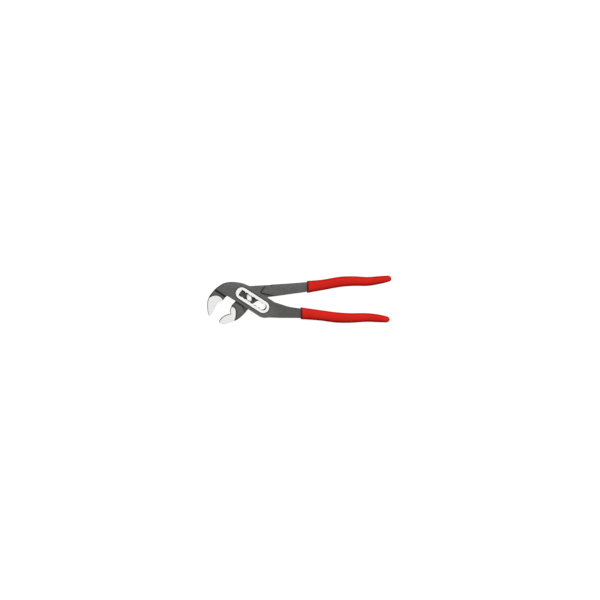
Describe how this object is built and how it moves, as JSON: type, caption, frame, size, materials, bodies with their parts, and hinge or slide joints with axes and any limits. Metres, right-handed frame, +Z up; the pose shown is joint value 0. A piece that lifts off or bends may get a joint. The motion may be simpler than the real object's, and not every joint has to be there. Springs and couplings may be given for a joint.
{
  "type": "tongue and groove pliers",
  "caption": "Tongue and groove pliers with a slotted box joint, curved toothed jaws and dipped red grips, lying half open.",
  "frame": {"origin": "on the pivot pin's axis, at the face that the tool lies on", "axes": "+X along the tool from the jaws to the handles, +Y across the tool towards the upper handle, +Z up, along the pin"},
  "size_m": [0.2506, 0.0643, 0.012],
  "materials": {
    "blackened_steel": "satin, blackened",
    "bright_steel": "ground bright",
    "dipped_grip": "smooth, slightly glossy"
  },
  "bodies": {
    "outer_arm": {"outer_arm": "blackened_steel", "lower_grip": "dipped_grip"},
    "pivot_pin": {"pivot_pin": "bright_steel"},
    "inner_arm": {"inner_arm": "blackened_steel", "upper_grip": "dipped_grip"}
  },
  "joints": [
    {"name": "groove_slide", "type": "slide", "parent": "outer_arm", "child": "pivot_pin", "axis": [0.8387, -0.5446, 0], "range_m": [-0.0113, 0.0226]},
    {"name": "jaw_pivot", "type": "hinge", "parent": "pivot_pin", "child": "inner_arm", "pos_m": [0, 0, 0.006], "axis": [0, 0, 1], "range_deg": [-3.3, 30]}
  ]
}
